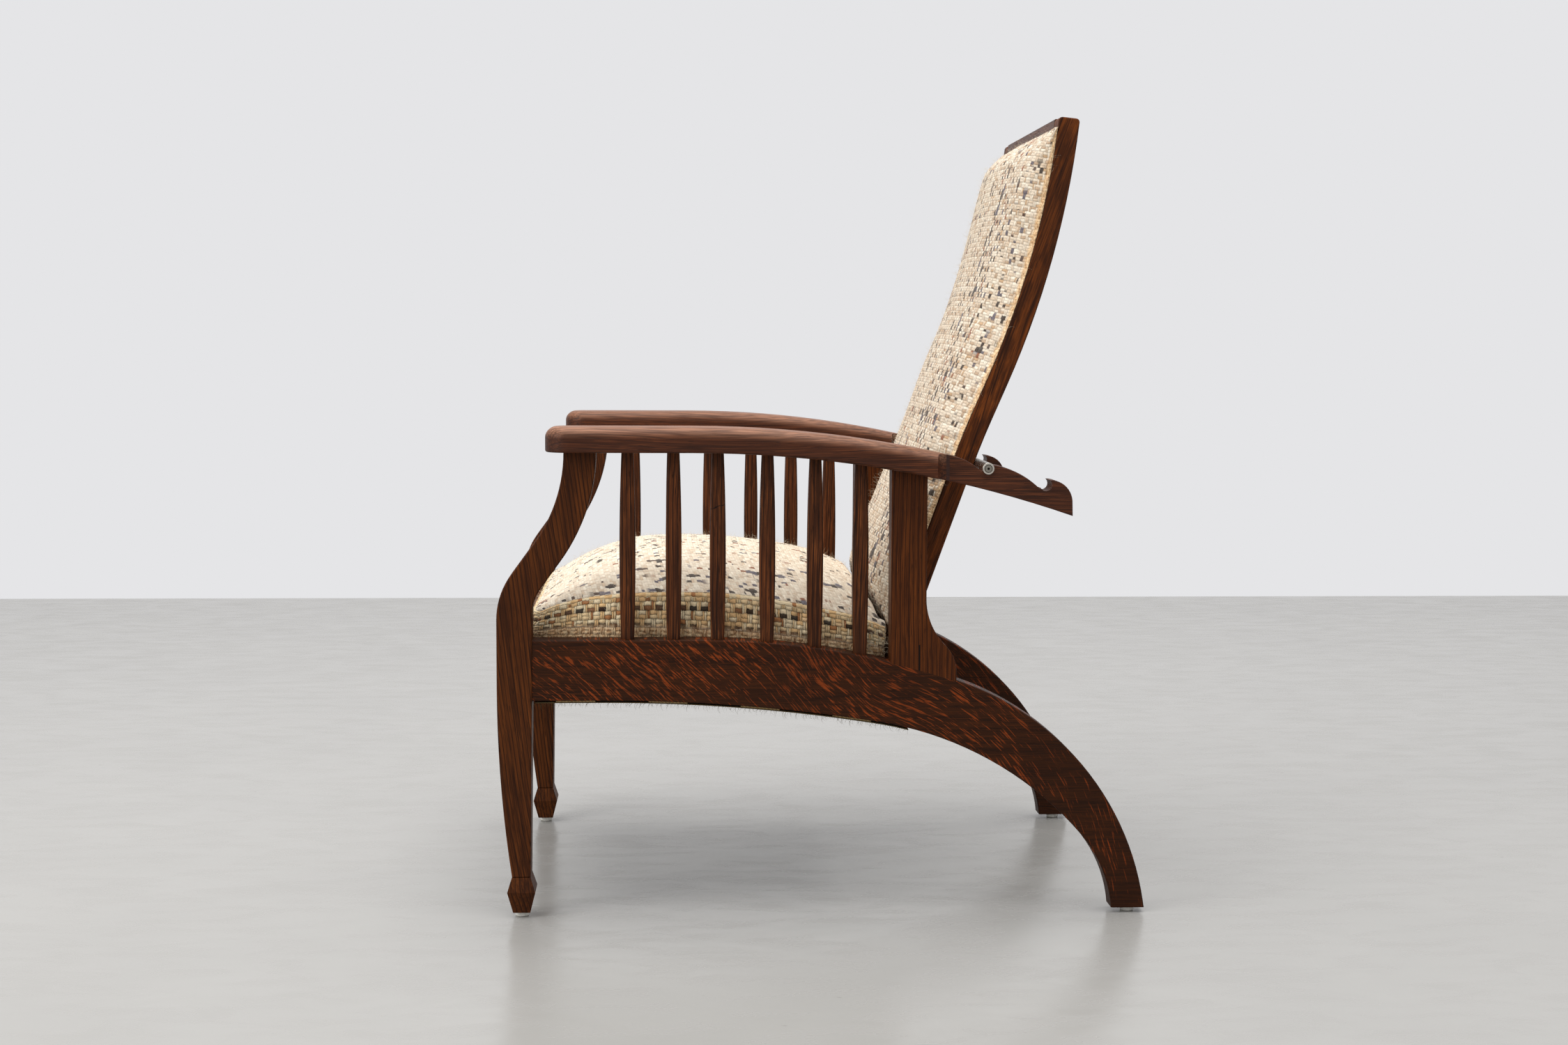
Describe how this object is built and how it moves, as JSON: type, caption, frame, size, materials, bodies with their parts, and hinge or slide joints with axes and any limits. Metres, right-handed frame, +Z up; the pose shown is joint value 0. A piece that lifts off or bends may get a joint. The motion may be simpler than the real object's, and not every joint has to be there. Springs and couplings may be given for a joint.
{
  "type": "reclining armchair",
  "caption": "Oak reclining armchair with spindled sides, sabre rear legs, a sprung tweed seat and a hinged padded back that leans on a rod in arm notches.",
  "frame": {"origin": "on the floor, under the middle of the chair's outline", "axes": "+Z up, the chair faces -Y, +X is the sitter's left"},
  "size_m": [0.65, 0.8397, 1.0341],
  "materials": {
    "arm_oak": "satin stained oak, redder and worn",
    "rail_oak": "satin stained quarter-sawn oak with ray flecks",
    "leg_oak": "satin dark stained oak, straight grain",
    "back_oak": "satin stained oak",
    "block_wood": "raw softwood",
    "wool_tweed": "chunky cream wool tweed with dark flecks",
    "hessian": "coarse jute cloth",
    "jute_webbing": "woven jute strap",
    "spring_steel": "dull drawn wire",
    "nickel_rod": "satin nickel plate",
    "screw_steel": "dull steel",
    "hinge_brass": "aged brass",
    "glide_plastic": "off-white"
  },
  "bodies": {
    "frame": {"armrest_left": "arm_oak", "armrest_right": "arm_oak", "corner_block_screws": "screw_steel", "corner_blocks": "block_wood", "frame_dowels": "block_wood", "front_leg_left": "leg_oak", "front_leg_right": "leg_oak", "front_seat_rail": "rail_oak", "glides": "glide_plastic", "hinge_pins": "hinge_brass", "hinge_seat_leaves": "hinge_brass", "hinge_seat_screws": "screw_steel", "post_heel_left": "leg_oak", "post_heel_right": "leg_oak", "rear_post_left": "leg_oak", "rear_post_right": "leg_oak", "rear_seat_rail": "rail_oak", "seat_cushion": "wool_tweed", "seat_dust_cloth": "hessian", "seat_springs": "spring_steel", "seat_webbing_across": "jute_webbing", "seat_webbing_along": "jute_webbing", "side_rail_left": "rail_oak", "side_rail_right": "rail_oak", "spindle_1_left": "leg_oak", "spindle_1_right": "leg_oak", "spindle_2_left": "leg_oak", "spindle_2_right": "leg_oak", "spindle_3_left": "leg_oak", "spindle_3_right": "leg_oak", "spindle_4_left": "leg_oak", "spindle_4_right": "leg_oak", "spindle_5_left": "leg_oak", "spindle_5_right": "leg_oak", "spindle_6_left": "leg_oak", "spindle_6_right": "leg_oak", "spring_hessian": "hessian"},
    "back": {"back_stile_left": "back_oak", "back_stile_right": "back_oak", "back_top_rail": "back_oak", "back_bottom_rail": "back_oak", "back_webbing": "jute_webbing", "back_pad": "wool_tweed", "back_lining": "hessian", "hinge_back_leaves": "hinge_brass", "hinge_back_screws": "screw_steel"},
    "rod": {"support_rod": "nickel_rod", "rod_end_plugs": "nickel_rod"}
  },
  "joints": [
    {"name": "back_hinge", "type": "hinge", "parent": "frame", "child": "back", "pos_m": [0, 0.11715, 0.3475], "axis": [1, 0, 0], "range_deg": [0, 8]},
    {"name": "rod_slide", "type": "slide", "parent": "frame", "child": "rod", "axis": [1, 0, 0], "range_m": [0, 0.6]}
  ]
}
